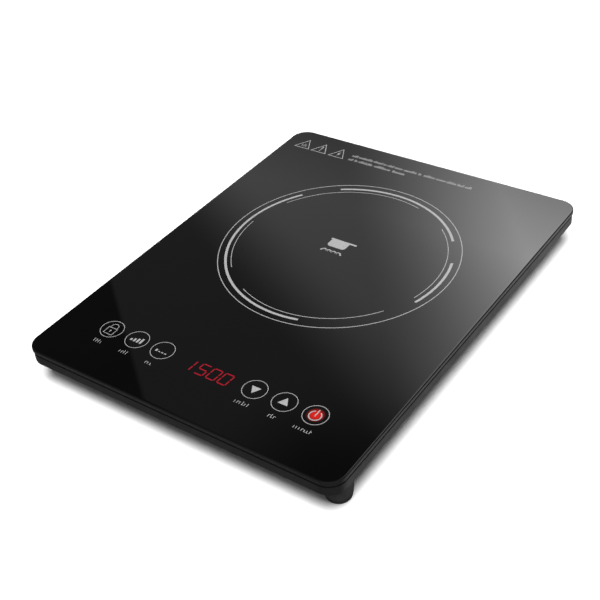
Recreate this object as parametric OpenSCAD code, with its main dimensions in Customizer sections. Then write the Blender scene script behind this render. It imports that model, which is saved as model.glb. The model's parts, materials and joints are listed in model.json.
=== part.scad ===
// Slim one-zone induction cooktop.
// X runs to the user's right, Y to the back, Z up. The origin is on the
// resting surface, under the middle of the glass.

/* [Glass top] */
// Width of the glass, left to right
glass_w = 280; // [276:1:300]
// Depth of the glass, front to back
glass_d = 368; // [364:1:390]
// Thickness of the glass
glass_t = 4; // [3:0.5:5]
// Corner radius of the glass
glass_r = 14; // [12:1:18]
// Height from the resting surface to the cooking surface
total_h = 38; // [38:1:44]

/* [Housing] */
// Thickness of the silicone bead under the glass
seal_t = 1.6; // [1:0.1:1.8]
// Height of the frame that shows under the glass
frame_h = 7; // [7:0.1:9]
// How far the frame stands back from the edge of the glass
frame_inset = 0.6; // [0.4:0.1:1.5]
// Wall thickness of the plastic mouldings
wall = 2; // [1.8:0.1:2.4]
// How far the upper step of the bottom case stands back from the glass edge
step_inset = 14; // [14:1:16]
// How far the tub of the bottom case stands back from the glass edge
tub_inset = 25; // [24:1:26]
// Height of the underside of the tub above the resting surface
tub_z = 6; // [5:0.5:7]

/* [Feet] */
// Radius of a leg where it meets the housing
leg_top_r = 12; // [11:0.5:12.5]
// Radius of a rubber foot at the bottom
foot_r = 9.6; // [8:0.2:10]
// Height of a rubber foot
foot_h = 5; // [4:0.5:6]
// Front legs: distance of the axis from the side edge of the glass
front_leg_side = 16; // [15.8:0.2:20]
// How much further back the front left leg stands
left_leg_back = 9; // [0:0.5:10]
// Rear legs: distance of the axis from the side edge of the glass
rear_leg_side = 25; // [20:1:30]
// Distance of each leg's axis from the front or back edge of the glass
leg_end = 25.1; // [24:0.1:30]

/* [Cooking zone] */
// Distance of the zone's centre from the front edge
zone_from_front = 218; // [214:1:224]
// Turns of the induction coil
coil_turns = 15; // [10:1:15]
// Distance from one turn to the next
coil_pitch = 3.6; // [3.4:0.1:3.6]
// Radius of the first turn
coil_first_r = 24; // [22:1:25]
// Number of ferrite bars under the coil
ferrite_count = 8; // [6:1:8]

/* [Fan] */
// Side of the square fan frame
fan_size = 80; // [70:1:80]
// Thickness of the fan frame
fan_t = 15; // [14:0.5:16]
// Number of fan blades
blade_count = 7; // [5:1:9]
// Pitch angle of a blade
blade_angle = 38; // [30:1:45]
// Radius of the fan shaft
shaft_r = 1.5; // [1.2:0.1:2]

/* [Touch controls] */
// Distance of the row of touch keys from the front edge
keys_from_front = 49; // [46:1:50]
// Spacing of neighbouring touch keys
key_pitch = 25.5; // [24:0.5:26]
// Distance of the outer left key from the left edge
key_left = 45.7; // [45:0.1:50]
// Distance of the outer right key from the right edge
key_right = 47.7; // [45:0.1:50]

/* [Hidden] */
$fn = 48;

slip = 0.05;   // clearance round a screw or a pin in its hole
gap = 0.3;     // clearance between neighbouring mouldings
eps = 0.01;    // overlap that keeps a cut open

half_w = glass_w / 2;
half_d = glass_d / 2;

// Heights, from the cooking surface down.
glass_z = total_h - glass_t;
frame_top = glass_z - seal_t;
frame_z = frame_top - frame_h;
flange_top = frame_z + wall;
ledge_z = frame_top - wall;
step_z = frame_z - 10;
tub_floor = tub_z + wall;

ledge_w = 13;
flange_inset = frame_inset + wall + 0.2 + gap;

// Screws that hold the bottom case to the frame.
screw_r = 1.5;
screw_head_r = 2.8;
screw_head_h = 1.8;
case_screw_inset = 9;
case_screw_spots = concat(
    [for (x = [-1, 1], y = [-108, 0, 108]) [x * (half_w - case_screw_inset), y]],
    [for (x = [-68, 68], y = [-1, 1]) [x, y * (half_d - case_screw_inset)]]
);

leg_spots = concat(
    [[half_w - front_leg_side, -half_d + leg_end]],
    [[-half_w + front_leg_side, -half_d + leg_end + left_leg_back]],
    [for (x = [-1, 1]) [x * (half_w - rear_leg_side), half_d - leg_end]]
);

// Induction coil, stacked from the glass down.
zone_y = -half_d + zone_from_front;
coil_wire_r = coil_pitch / 2 + 0.1;
pad_t = 4.2;
mica_t = 0.6;
mica_top = glass_z - pad_t;
mica_z = mica_top - mica_t;
former_top = mica_z - 2 * coil_wire_r;
former_t = 3;
former_z = former_top - former_t;
former_r = 88;
coil_last_r = coil_first_r + (coil_turns - 1) * coil_pitch;
coil_post_r = 82;
coil_post_spots = [for (a = [90, 210, 330]) [coil_post_r * cos(a), zone_y + coil_post_r * sin(a)]];
lead_hole_r = 2.6;
lead_r = 1.8;
lead_angle = 310;
lead_spots = [
    [0, zone_y - coil_first_r],
    [(coil_last_r + 3.6) * cos(lead_angle), zone_y + (coil_last_r + 3.6) * sin(lead_angle)]
];
sensor_r = 8;
sensor_bore_r = 3.2;

// Fan, hung in the front left of the tub with its inlet downwards.
fan_x = -half_w + 74;
fan_y = -half_d + 76;
fan_post_h = 1.4;
fan_z = tub_floor + fan_post_h;
fan_top = fan_z + fan_t;
fan_hole_r = fan_size / 2 - 2;
fan_tip_r = fan_hole_r - 1.4;
hub_r = 17;
hub_z = fan_z + 1;
hub_h = 11.6;
fan_base_t = 2;
fan_post_pitch = fan_size / 2 - 4.5;
fan_post_spots = [for (x = [-1, 1], y = [-1, 1]) [fan_x + x * fan_post_pitch, fan_y + y * fan_post_pitch]];

// Power board, front right.
board_t = 1.6;
board_z = tub_floor + 3;
board_top = board_z + board_t;
board_x0 = -20;
board_x1 = 104;
board_y0 = -half_d + 28;
board_y1 = -half_d + 124;
board_screw_spots = [for (x = [board_x0 + 4, board_x1 - 4], y = [board_y0 + 4, board_y1 - 4]) [x, y]];
sink_x = 18;
sink_y = board_y1 - 28;
sink_w = 56;
sink_d = 44;
sink_z = board_top + 5;
sink_base = 3;
sink_h = 13;
device_dx = 14;

// Control board, under the front of the glass.
keys_y = -half_d + keys_from_front;
key_xs = concat(
    [for (i = [0:2]) -half_w + key_left + i * key_pitch],
    [for (i = [2:-1:0]) half_w - key_right - i * key_pitch]
);
control_w = 220;
control_d = 36;
control_t = 1.6;
control_top = glass_z - 4;
control_z = control_top - control_t;
carrier_t = 1.6;
carrier_z = control_z - carrier_t;
carrier_leg_x = 108.8;
carrier_leg_ys = [keys_y - 16, keys_y + 20];
ribbon_x = 6;
ribbon_y = keys_y - 15;
ribbon_w = 20;
control_screw_spots = [for (x = [-1, 1], y = [-1, 1]) [x * 106, keys_y + y * 14]];

// Cord gland, in a pocket at the back right.
gland_x = 88;
gland_z = 14.4;
gland_r = 6;
gland_bore_r = 3.4;
pocket_w = 24;
step_back = half_d - step_inset;
tub_back = half_d - tub_inset;

// Stem of a rubber foot, plugged into its leg.
foot_stem_r = 3;
foot_stem_h = 3;

// Air slots of the bottom case.
slot_w = 3;
slot_pitch = 6.4;

// ---- shared shapes ----

// A rectangle with round corners, centred on the origin.
module rounded_rect(w, d, r) {
    square([w - 2 * r, d], center = true);
    square([w, d - 2 * r], center = true);
    for (x = [-1, 1], y = [-1, 1]) {
        translate([x * (w / 2 - r), y * (d / 2 - r)]) circle(r);
    }
}

// The outline of the glass, drawn in by `inset`.
module outline(inset, r_min = 2) {
    rounded_rect(glass_w - 2 * inset, glass_d - 2 * inset, max(glass_r - inset, r_min));
}

// A closed band between two insets.
module band(z, h, outer, inner, r_min = 2) {
    translate([0, 0, z]) linear_extrude(h) difference() {
        outline(outer, r_min);
        outline(inner, r_min);
    }
}

module at(spots, z = 0) {
    for (p = spots) {
        translate([p[0], p[1], z]) children();
    }
}

module tube(r_out, r_in, h) {
    difference() {
        cylinder(r = r_out, h = h);
        translate([0, 0, -eps]) cylinder(r = r_in, h = h + 2 * eps);
    }
}

// A block that stands on z, centred on x and y.
module block(size) {
    translate([-size[0] / 2, -size[1] / 2, 0]) cube(size);
}

// A pan-head screw that points up, with the underside of its head at z = 0.
module screw_up(shank_r, shank_l, head_r, head_h) {
    cylinder(r = shank_r, h = shank_l);
    difference() {
        translate([0, 0, -head_h]) cylinder(r = head_r, h = head_h);
        cross_recess(head_r, -head_h, -head_h + head_h * 0.6);
    }
}

module cross_recess(head_r, z0, z1) {
    for (a = [0, 90]) {
        rotate(a) translate([-head_r * 0.6, -head_r * 0.13, z0 - eps])
            cube([head_r * 1.2, head_r * 0.26, z1 - z0 + eps]);
    }
}

module screw_down(shank_r, shank_l, head_r, head_h) {
    mirror([0, 0, 1]) screw_up(shank_r, shank_l, head_r, head_h);
}

// A straight round rod between two points.
module rod(a, b, r) {
    d = b - a;
    len = norm(d);
    turn = atan2(d[1], d[0]);
    tilt = acos(d[2] / len);
    translate(a) rotate([0, tilt, turn]) cylinder(r = r, h = len);
}

// A round wire through a list of points, with ball elbows a little wider than the wire.
module wire(points, r) {
    for (i = [0:len(points) - 2]) {
        rod(points[i], points[i + 1], r);
    }
    for (i = [1:len(points) - 2]) {
        translate(points[i]) sphere(r * 1.08);
    }
}

// A coil spring that stands on z = 0: a round wire swept along a helix.
module coil_spring(r, wire_r, h, turns) {
    sides = 6;
    rings = 12 * turns;
    rise = h - 2 * wire_r;
    points = [for (i = [0:rings], s = [0:sides - 1])
        let (a = 360 * turns * i / rings, b = 360 * s / sides, d = r - wire_r + wire_r * cos(b))
        [d * cos(a), d * sin(a), wire_r + rise * i / rings + wire_r * sin(b)]
    ];
    skin = [for (i = [0:rings - 1], s = [0:sides - 1])
        let (t = (s + 1) % sides, p = i * sides)
        [p + s, p + t, p + sides + t, p + sides + s]
    ];
    first = [for (s = [sides - 1:-1:0]) s];
    last = [for (s = [0:sides - 1]) rings * sides + s];
    polyhedron(points, concat(skin, [first, last]));
}

// ---- glass and housing ----

module glass_plate() {
    color([0.02, 0.02, 0.025]) translate([0, 0, glass_z]) linear_extrude(glass_t) outline(0);
}

module glass_seal() {
    color([0.03, 0.03, 0.03]) band(frame_top, seal_t, 1.6, 7);
}

module top_frame() {
    boss_r = 3.4;
    color([0.11, 0.11, 0.115]) difference() {
        union() {
            band(frame_z, frame_h, frame_inset, frame_inset + wall + 0.2);
            band(ledge_z, wall, frame_inset, ledge_w);
            at(case_screw_spots, flange_top) cylinder(r = boss_r, h = ledge_z - flange_top + eps);
        }
        at(case_screw_spots, flange_top - eps)
            cylinder(r = screw_r + slip, h = ledge_z - flange_top + wall / 2);
    }
}

// Round grille: ring slots broken by straight spokes.
module ring_grille(r_in, r_out, slot_w, pitch, spokes) {
    spoke_w = 2.4;
    difference() {
        for (r = [r_in:pitch:r_out - slot_w]) {
            tube(r + slot_w, r, wall + 2);
        }
        for (i = [0:spokes - 1]) {
            rotate(i * 360 / spokes) translate([0, -spoke_w / 2, -1])
                cube([r_out + 2, spoke_w, wall + 4]);
        }
    }
}

// A row of upright slots through a wall that faces Y.
module slot_row(count, pitch, w, depth, h) {
    for (i = [0:count - 1]) {
        translate([(i - (count - 1) / 2) * pitch - w / 2, -depth / 2, 0]) cube([w, depth, h]);
    }
}

module tub_cuts() {
    slot_h = step_z - tub_floor - 0.6;
    grille_r_in = 7;
    grille_r_out = 37.5;
    grille_slot = 3.2;
    grille_pitch = 5.6;
    grille_spokes = 6;
    intake_x = 26;
    intake_l = 48;
    translate([fan_x, fan_y, tub_z - 1])
        ring_grille(grille_r_in, grille_r_out, grille_slot, grille_pitch, grille_spokes);
    // air intake under the power board
    for (i = [0:9]) {
        translate([intake_x + i * slot_pitch, board_y0 + 22, tub_z - 1]) cube([slot_w, intake_l, wall + 2]);
    }
    // air outlets at the back and the sides
    translate([-24, tub_back - wall / 2, tub_floor + 0.4]) slot_row(24, slot_pitch, slot_w, wall + 2, slot_h);
    for (side = [-1, 1]) {
        translate([side * (half_w - tub_inset - wall / 2), 36, tub_floor + 0.4]) rotate(90)
            slot_row(22, slot_pitch, slot_w, wall + 2, slot_h);
    }
}

module leg_body() {
    color([0.1, 0.1, 0.105]) translate([0, 0, foot_h])
        cylinder(r1 = foot_r + 0.5, r2 = leg_top_r, h = frame_z - foot_h);
}

module cord_pocket(grow) {
    translate([gland_x - pocket_w / 2 - grow, tub_back - wall - 2, tub_floor - grow])
        cube([pocket_w + 2 * grow, step_back - tub_back + 2 + grow, step_z + 3 - tub_floor + grow]);
}

module bottom_case() {
    coil_post_r_out = 4;
    fan_post_r_out = 3.6;
    board_post_r_out = 3.4;
    color([0.11, 0.11, 0.115]) difference() {
        union() {
            band(frame_z, wall, flange_inset, step_inset + wall);
            band(step_z, frame_z - step_z + eps, step_inset, step_inset + wall, 12);
            band(step_z - wall, wall, step_inset, tub_inset + wall, 12);
            band(tub_z, step_z - tub_z, tub_inset, tub_inset + wall, 10);
            translate([0, 0, tub_z]) linear_extrude(wall) outline(tub_inset, 10);
            at(leg_spots) leg_body();
            cord_pocket(wall);
            at(coil_post_spots, tub_floor - eps) cylinder(r = coil_post_r_out, h = former_z - tub_floor + eps);
            at(fan_post_spots, tub_floor - eps) cylinder(r = fan_post_r_out, h = fan_post_h + eps);
            at(board_screw_spots, tub_floor - eps) cylinder(r = board_post_r_out, h = board_z - tub_floor + eps);
        }
        cord_pocket(0);
        tub_cuts();
        at(case_screw_spots, frame_z - 1) cylinder(r = screw_r + slip, h = wall + 2);
        at(coil_post_spots, former_z - 7) cylinder(r = screw_r + slip, h = 7 + eps);
        at(fan_post_spots, tub_z - 1) cylinder(r = screw_r + slip, h = wall + fan_post_h + 2);
        at(board_screw_spots, board_z - 4) cylinder(r = screw_r + slip, h = 4 + eps);
        at(leg_spots, foot_h - eps) cylinder(r = foot_stem_r + slip, h = foot_stem_h + 0.5);
        translate([gland_x, step_back + eps, gland_z]) rotate([90, 0, 0])
            cylinder(r = gland_r - 1.4, h = wall + 2 * eps);
    }
}

module rubber_feet() {
    round_r = 2.6;
    color([0.02, 0.02, 0.02]) at(leg_spots) {
        rotate_extrude() {
            square([foot_r - round_r, foot_h]);
            translate([0, round_r]) square([foot_r, foot_h - round_r]);
            translate([foot_r - round_r, round_r]) intersection() {
                circle(round_r);
                translate([0, -round_r]) square(round_r);
            }
        }
        // stem that plugs into the leg
        translate([0, 0, foot_h - eps]) cylinder(r = foot_stem_r, h = foot_stem_h);
    }
}

module case_screws() {
    color([0.35, 0.35, 0.37]) at(case_screw_spots, frame_z)
        screw_up(screw_r, ledge_z - frame_z, screw_head_r, screw_head_h);
}

module rating_plate() {
    plate_t = 0.4;
    plate_w = 84;
    plate_d = 46;
    plate_x = 10;
    plate_y = 62;
    color([0.75, 0.75, 0.76]) translate([plate_x, plate_y, tub_z - plate_t]) linear_extrude(plate_t)
        rounded_rect(plate_w, plate_d, 3);
}

// The bush that the mains cord leaves by: a flange, a neck in the wall and a tail.
module cord_gland() {
    tail_l = 12;
    flange_t = 2.4;
    clip_t = 1.6;
    color([0.04, 0.04, 0.04]) translate([gland_x, step_back, gland_z]) rotate([-90, 0, 0])
        difference() {
            union() {
                translate([0, 0, -wall]) cylinder(r = gland_r - 1.4 - slip, h = wall);
                translate([0, 0, -wall - clip_t]) cylinder(r = gland_r, h = clip_t);
                cylinder(r = gland_r, h = flange_t);
                translate([0, 0, flange_t - eps])
                    cylinder(r1 = gland_r - 0.6, r2 = gland_bore_r + 1, h = tail_l - flange_t);
            }
            translate([0, 0, -wall - 2]) cylinder(r = gland_bore_r, h = tail_l + wall + 4);
        }
}

// ---- induction coil and its sensor ----

module coil_former() {
    color([0.93, 0.92, 0.88]) translate([0, zone_y, former_z]) difference() {
        cylinder(r = former_r, h = former_t);
        translate([0, 0, -1]) cylinder(r = 2, h = former_t + 2);
        // windows between the spokes
        for (i = [0:ferrite_count - 1]) {
            rotate((i + 0.5) * 360 / ferrite_count + 360 / ferrite_count / 2) translate([30, 0, -1])
                window_cut();
        }
        translate([0, -zone_y, 0]) at(coil_post_spots, -1) cylinder(r = screw_r + slip, h = former_t + 2);
        translate([0, -zone_y, 0]) at(lead_spots, -1) cylinder(r = lead_hole_r, h = former_t + 2);
    }
}

module window_cut() {
    linear_extrude(former_t + 2) {
        translate([6, -3]) square([30, 6]);
        translate([6, 0]) circle(3);
        translate([36, 0]) circle(3);
    }
}

module coil_winding() {
    color([0.72, 0.38, 0.2]) translate([0, zone_y, former_top + coil_wire_r]) rotate_extrude($fn = 96)
        for (i = [0:coil_turns - 1]) {
            translate([coil_first_r + i * coil_pitch, 0]) circle(coil_wire_r);
        }
}

module ferrite_bars() {
    bar = [46, 9, 5];
    color([0.16, 0.16, 0.17]) translate([0, zone_y, former_z - bar[2]])
        for (i = [0:ferrite_count - 1]) {
            rotate((i + 0.5) * 360 / ferrite_count) translate([24 + bar[0] / 2, 0, 0]) block(bar);
        }
}

module mica_sheet() {
    color([0.78, 0.72, 0.58]) translate([0, zone_y, mica_z]) tube(former_r - 8, 10, mica_t);
}

module fibre_pad() {
    color([0.95, 0.95, 0.93]) translate([0, zone_y, mica_top]) tube(former_r - 12, 10, pad_t);
}

module coil_screws() {
    color([0.7, 0.7, 0.72]) at(coil_post_spots, former_top)
        screw_down(screw_r, former_t + 6, screw_head_r, screw_head_h);
}

// Ends of the winding, led down through the former and forward to their terminals.
module coil_leads() {
    low_z = board_top + 2.4;
    ends = [for (x = terminal_xs) [x, terminal_y + 4, board_top + terminal_bore_z]];
    color([0.5, 0.25, 0.14]) {
        for (i = [0, 1]) {
            wire([
                [lead_spots[i][0], lead_spots[i][1], former_top + i * coil_wire_r],
                [lead_spots[i][0], lead_spots[i][1], low_z],
                [ends[i][0], ends[i][1] + 4, low_z],
                ends[i]
            ], lead_r);
        }
    }
}

module sensor_holder() {
    top = glass_z;
    color([0.9, 0.9, 0.88]) translate([0, zone_y, former_top]) difference() {
        union() {
            cylinder(r = 12, h = 1.6);
            cylinder(r = sensor_r, h = top - former_top);
        }
        translate([0, 0, -eps]) cylinder(r = sensor_bore_r, h = top - former_top + 1);
    }
}

module sensor_spring() {
    color([0.75, 0.75, 0.77]) translate([0, zone_y, former_top])
        coil_spring(2.6, 0.4, glass_z - 3 - former_top, 5);
}

module thermistor() {
    color([0.1, 0.1, 0.1]) translate([0, zone_y, glass_z - 3]) cylinder(r = 3, h = 3);
}

module sensor_wires() {
    low_z = former_z - 7;
    color([0.85, 0.85, 0.85]) for (dx = [-0.9, 0.9]) {
        wire([
            [dx, zone_y, glass_z - 3],
            [dx, zone_y, low_z],
            [dx - 14, board_y1 + 6, low_z],
            [dx + socket_spots[1][0], socket_spots[1][1] + 3.4, board_top + 5]
        ], 0.6);
    }
}

// ---- fan ----

module fan_frame() {
    arm_w = 3.4;
    motor_r = 16;
    color([0.07, 0.07, 0.07]) translate([fan_x, fan_y, 0]) {
        difference() {
            translate([0, 0, fan_z]) linear_extrude(fan_t) rounded_rect(fan_size, fan_size, 4);
            translate([0, 0, fan_z - 1]) cylinder(r = fan_hole_r, h = fan_t + 2);
            translate([-fan_x, -fan_y, 0]) at(fan_post_spots, fan_z - 1)
                cylinder(r = screw_r + slip, h = fan_t + 2);
        }
        translate([0, 0, fan_top - fan_base_t]) difference() {
            union() {
                cylinder(r = motor_r, h = fan_base_t);
                for (a = [45:90:315]) {
                    rotate(a) translate([motor_r - 1, -arm_w / 2, 0])
                        cube([fan_hole_r - motor_r + 2, arm_w, fan_base_t]);
                }
            }
            translate([0, 0, -1]) cylinder(r = 3 + slip / 2, h = fan_base_t + 2);
        }
    }
}

module fan_bearing() {
    color([0.8, 0.62, 0.3]) translate([fan_x, fan_y, hub_z + 3]) tube(3, shaft_r + slip, fan_top - hub_z - 3);
}

module fan_stator() {
    h = 7;
    color([0.7, 0.4, 0.2]) translate([fan_x, fan_y, fan_top - fan_base_t - h]) {
        tube(6, 3, h);
        for (a = [0:90:270]) {
            rotate(a) {
                translate([5.6, -2.6, 1]) cube([5.4, 5.2, h - 2]);
                intersection() {
                    translate([10, -7, 0.6]) cube([4, 14, h - 1.2]);
                    tube(13, 11, h);
                }
            }
        }
    }
}

module fan_magnet() {
    color([0.2, 0.2, 0.2]) translate([fan_x, fan_y, hub_z + 1.2]) tube(15.8, 14.2, hub_h - 2);
}

module fan_rotor() {
    hub_wall = 1.2;
    blade_t = 1.3;
    color([0.05, 0.05, 0.05]) translate([fan_x, fan_y, hub_z]) {
        difference() {
            cylinder(r = hub_r, h = hub_h);
            translate([0, 0, hub_wall]) cylinder(r = hub_r - hub_wall, h = hub_h);
        }
        intersection() {
            tube(fan_tip_r, hub_r - 0.4, hub_h);
            for (i = [0:blade_count - 1]) {
                rotate(i * 360 / blade_count) translate([0, 0, hub_h / 2]) rotate([blade_angle, 0, 0])
                    translate([hub_r - 2, -13, -blade_t / 2]) cube([fan_tip_r, 26, blade_t]);
            }
        }
    }
}

module fan_shaft() {
    color([0.8, 0.8, 0.82]) translate([fan_x, fan_y, hub_z + 1.2]) cylinder(r = shaft_r, h = fan_top - hub_z - 2.2);
}

module fan_screws() {
    color([0.6, 0.6, 0.62]) at(fan_post_spots, fan_top)
        screw_down(screw_r, fan_t + 2, screw_head_r, screw_head_h);
}

module fan_wires() {
    start = [fan_x + fan_size / 2 + 0.5, fan_y - 6, fan_z + 4];
    finish = [socket_spots[0][0], socket_spots[0][1], board_top + 7];
    colours = ["red", "black"];
    for (i = [0, 1]) {
        dy = i * 1.8 - 0.9;
        color(colours[i]) wire([
            start + [0, dy, 0],
            start + [3, dy, 4],
            [start[0] + 3, start[1] + dy, finish[2] + 3],
            finish + [0, dy, 3],
            finish + [0, dy, 0]
        ], 0.6);
    }
}

// ---- power board ----

terminal_xs = [54, 70];
terminal_y = board_y1 - 6;
terminal_bore_z = 3.1;
socket_spots = [[-14, board_y1 - 58], [-14, board_y1 - 12], [ribbon_x, ribbon_y]];

module power_board() {
    color([0.55, 0.42, 0.2]) difference() {
        translate([board_x0, board_y0, board_z]) cube([board_x1 - board_x0, board_y1 - board_y0, board_t]);
        at(board_screw_spots, board_z - 1) cylinder(r = screw_r + slip, h = board_t + 2);
    }
}

module board_screws() {
    color([0.7, 0.7, 0.72]) at(board_screw_spots, board_top)
        screw_down(screw_r, board_t + 3, screw_head_r, screw_head_h);
}

module heatsink() {
    fins = 9;
    fin_t = 1.2;
    pitch = (sink_d - fin_t) / (fins - 1);
    color([0.72, 0.73, 0.75]) translate([sink_x, sink_y, sink_z]) {
        difference() {
            union() {
                block([sink_w, sink_d, sink_base]);
                for (i = [0:fins - 1]) {
                    translate([-sink_w / 2, -sink_d / 2 + i * pitch, sink_base - eps])
                        cube([sink_w, fin_t, sink_h - sink_base]);
                }
            }
            for (x = [-device_dx, device_dx]) {
                translate([x, 0, -1]) cylinder(r = screw_r + slip, h = sink_base + 2);
                translate([x, 0, sink_base]) cylinder(r = screw_head_r + 1, h = sink_h);
            }
        }
        // feet that stand on the board
        for (x = [-1, 1], y = [-1, 1]) {
            translate([x * (sink_w / 2 - 3), y * (sink_d / 2 - 3), board_top - sink_z])
                block([4, 4, sink_z - board_top + eps]);
        }
    }
}

// A flat power device under the heatsink, with its legs bent down to the board.
module power_device(x, size, legs) {
    leg_pitch = 5;
    translate([x, 0, sink_z - size[2]]) difference() {
        block(size);
        translate([0, 0, -1]) cylinder(r = screw_r + slip, h = size[2] + 2);
    }
    for (i = [0:legs - 1]) {
        translate([x + (i - (legs - 1) / 2) * leg_pitch, -size[1] / 2 - 1, board_top])
            block([1.2, 0.8, sink_z - board_top - 1]);
        translate([x + (i - (legs - 1) / 2) * leg_pitch, -size[1] / 2 - 0.7, sink_z - 2])
            block([1.2, 1.4, 0.8]);
    }
}

module igbt() {
    color([0.08, 0.08, 0.09]) translate([sink_x, sink_y, 0]) power_device(-device_dx, [16, 20, 4.6], 3);
}

module bridge_rectifier() {
    color([0.1, 0.1, 0.11]) translate([sink_x, sink_y, 0]) power_device(device_dx, [22, 18, 4.4], 4);
}

module heatsink_screws() {
    color([0.6, 0.6, 0.62]) for (x = [-device_dx, device_dx]) {
        translate([sink_x + x, sink_y, sink_z + sink_base]) screw_down(screw_r, sink_base + 3.6, screw_head_r, 1.6);
    }
}

module box_capacitor(spot, size) {
    translate([spot[0], spot[1], board_top]) linear_extrude(size[2]) rounded_rect(size[0], size[1], 1);
}

// Spots of the parts that stand beside the heatsink.
film_size = [32, 16, 17];
filter_spot = [66, board_y1 - 22];
resonant_spot = [66, board_y1 - 41];
line_spot = [70, board_y0 + 10];
line_size = [26, 10, 12];

module filter_capacitor() {
    color([0.82, 0.72, 0.2]) box_capacitor(filter_spot, film_size);
}

module resonant_capacitor() {
    color([0.25, 0.4, 0.62]) box_capacitor(resonant_spot, film_size);
}

module line_capacitor() {
    color([0.85, 0.75, 0.25]) box_capacitor(line_spot, line_size);
}

choke_spot = [92, board_y1 - 30];
choke_r_out = 8;
choke_r_in = 4.4;
choke_h = 9;

module choke_core() {
    color([0.2, 0.35, 0.2]) translate([choke_spot[0], choke_spot[1], board_top + 1.2]) tube(choke_r_out, choke_r_in, choke_h);
}

module choke_winding() {
    turns = 14;
    side = 1.1;
    slack = 0.1;
    ring_w = choke_r_out - choke_r_in;
    color([0.75, 0.42, 0.2]) translate([choke_spot[0], choke_spot[1], board_top]) for (i = [0:turns - 1]) {
        rotate(i * 360 / turns) translate([(choke_r_out + choke_r_in) / 2, 0, 0]) difference() {
            block([ring_w + 2 * side, side, choke_h + 2 * side + 2 * slack]);
            translate([0, 0, side + slack]) block([ring_w + 2 * slack, side + 1, choke_h]);
        }
    }
}

module electrolytics() {
    // each can: x, y, radius, height
    cans = [[-9, board_y0 + 30, 5, 12], [-9, board_y0 + 16, 4, 11], [38, board_y0 + 24, 6.3, 12]];
    color([0.12, 0.14, 0.2]) for (c = cans) {
        translate([c[0], c[1], board_top]) {
            cylinder(r = c[2], h = c[3]);
            translate([0, 0, c[3] - eps]) cylinder(r = c[2] - 0.8, h = 0.4);
        }
    }
}

transformer_spot = [15, board_y0 + 26];

module transformer_core() {
    color([0.25, 0.25, 0.26]) translate([transformer_spot[0], transformer_spot[1], board_top + 1]) difference() {
        block([20, 10, 11]);
        for (x = [-1, 1]) {
            translate([x * 6, 0, 2]) block([5, 11, 7]);
        }
    }
}

module transformer_coil() {
    color([0.85, 0.8, 0.4]) translate([transformer_spot[0], transformer_spot[1], 0]) {
        difference() {
            translate([0, 0, board_top + 3.2]) block([16, 16, 6.6]);
            translate([0, 0, board_top + 3]) block([7 + 2 * gap, 10 + 2 * gap, 7]);
            for (x = [-1, 1]) {
                translate([x * 10.4, 0, board_top + 3]) block([4, 10 + 2 * gap, 7]);
            }
        }
        for (x = [-6, 0, 6], y = [-1, 1]) {
            translate([x, y * 7, board_top]) block([0.9, 0.9, 3.2 + eps]);
        }
    }
}

fuse_spot = [76, board_y0 + 26];
fuse_r = 2.6;
fuse_l = 20;
fuse_z = board_top + 5;

module fuse() {
    color([0.85, 0.9, 0.9]) translate([fuse_spot[0] - fuse_l / 2, fuse_spot[1], fuse_z])
        rotate([0, 90, 0]) cylinder(r = fuse_r, h = fuse_l);
}

module fuse_clips() {
    color([0.75, 0.75, 0.7]) for (x = [-7.5, 7.5]) {
        translate([fuse_spot[0] + x, fuse_spot[1], board_top]) difference() {
            block([4, 7, 7]);
            translate([-3, 0, fuse_z - board_top]) rotate([0, 90, 0]) cylinder(r = fuse_r + slip, h = 6);
            translate([0, 0, fuse_z - board_top]) block([5, 3.6, 4]);
        }
    }
}

module varistor() {
    r = 5.5;
    t = 3.6;
    spot = [95, board_y0 + 42];
    color([0.1, 0.3, 0.6]) translate([spot[0], spot[1], board_top + 1.5 + r]) rotate([90, 0, 0])
        translate([0, 0, -t / 2]) cylinder(r = r, h = t);
    color([0.7, 0.7, 0.7]) for (x = [-2.5, 2.5]) {
        translate([spot[0] + x, spot[1], board_top]) cylinder(r = 0.4, h = 3);
    }
}

module coil_terminals() {
    color([0.8, 0.8, 0.78]) for (x = terminal_xs) {
        translate([x, terminal_y, board_top]) difference() {
            block([9, 8, 7]);
            translate([0, 5, terminal_bore_z]) rotate([90, 0, 0]) cylinder(r = lead_r + slip, h = 5);
            translate([0, 0, 5]) cylinder(r = 2, h = 3);
        }
    }
}

mains_xs = [90, 97.4];
mains_y = board_y0 + 14;

module mains_terminals() {
    color([0.8, 0.8, 0.78]) for (x = mains_xs) {
        translate([x, mains_y, board_top]) {
            block([5, 3, 2]);
            translate([0, 0, 2 - eps]) block([4, 0.8, 6]);
        }
    }
}

module logic_chips() {
    spots = [[34, board_y0 + 8], [50, board_y0 + 8], [54, board_y0 + 24]];
    sizes = [[10, 6.4, 3.4], [5, 4, 1.6], [6, 5, 1.6]];
    color([0.06, 0.06, 0.06]) for (i = [0:2]) {
        translate([spots[i][0], spots[i][1], board_top]) block(sizes[i]);
    }
}

// Plug-in sockets: fan, sensor and control ribbon.
module board_sockets() {
    sizes = [[7, 6, 7], [7, 6, 7], [22, 5, 7]];
    color([0.92, 0.91, 0.86]) for (i = [0:2]) {
        translate([socket_spots[i][0], socket_spots[i][1], board_top]) block(sizes[i]);
    }
}

module mains_wires() {
    side_x = half_w - tub_inset - wall - 4.6;
    board_side = board_x1 - 0.4;
    colours = ["saddlebrown", "steelblue"];
    rise = 3.4;
    for (i = [0, 1]) {
        low = tub_floor + 1.8 + i * rise;
        high = board_top + 5 + i * rise;
        color(colours[i]) wire([
            [gland_x + i * 3 - 1.5, step_back - 8, gland_z],
            [gland_x + i * 3 - 1.5, step_back - 16, low + 1],
            [side_x, step_back - 30, low],
            [side_x, board_y1 + 12, low],
            [board_side, board_y1 + 2, high],
            [board_side, mains_y + 12, high],
            [mains_xs[1 - i], mains_y + 1.5, board_top + 8 + i * 1.2]
        ], 1.2);
    }
}

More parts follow.
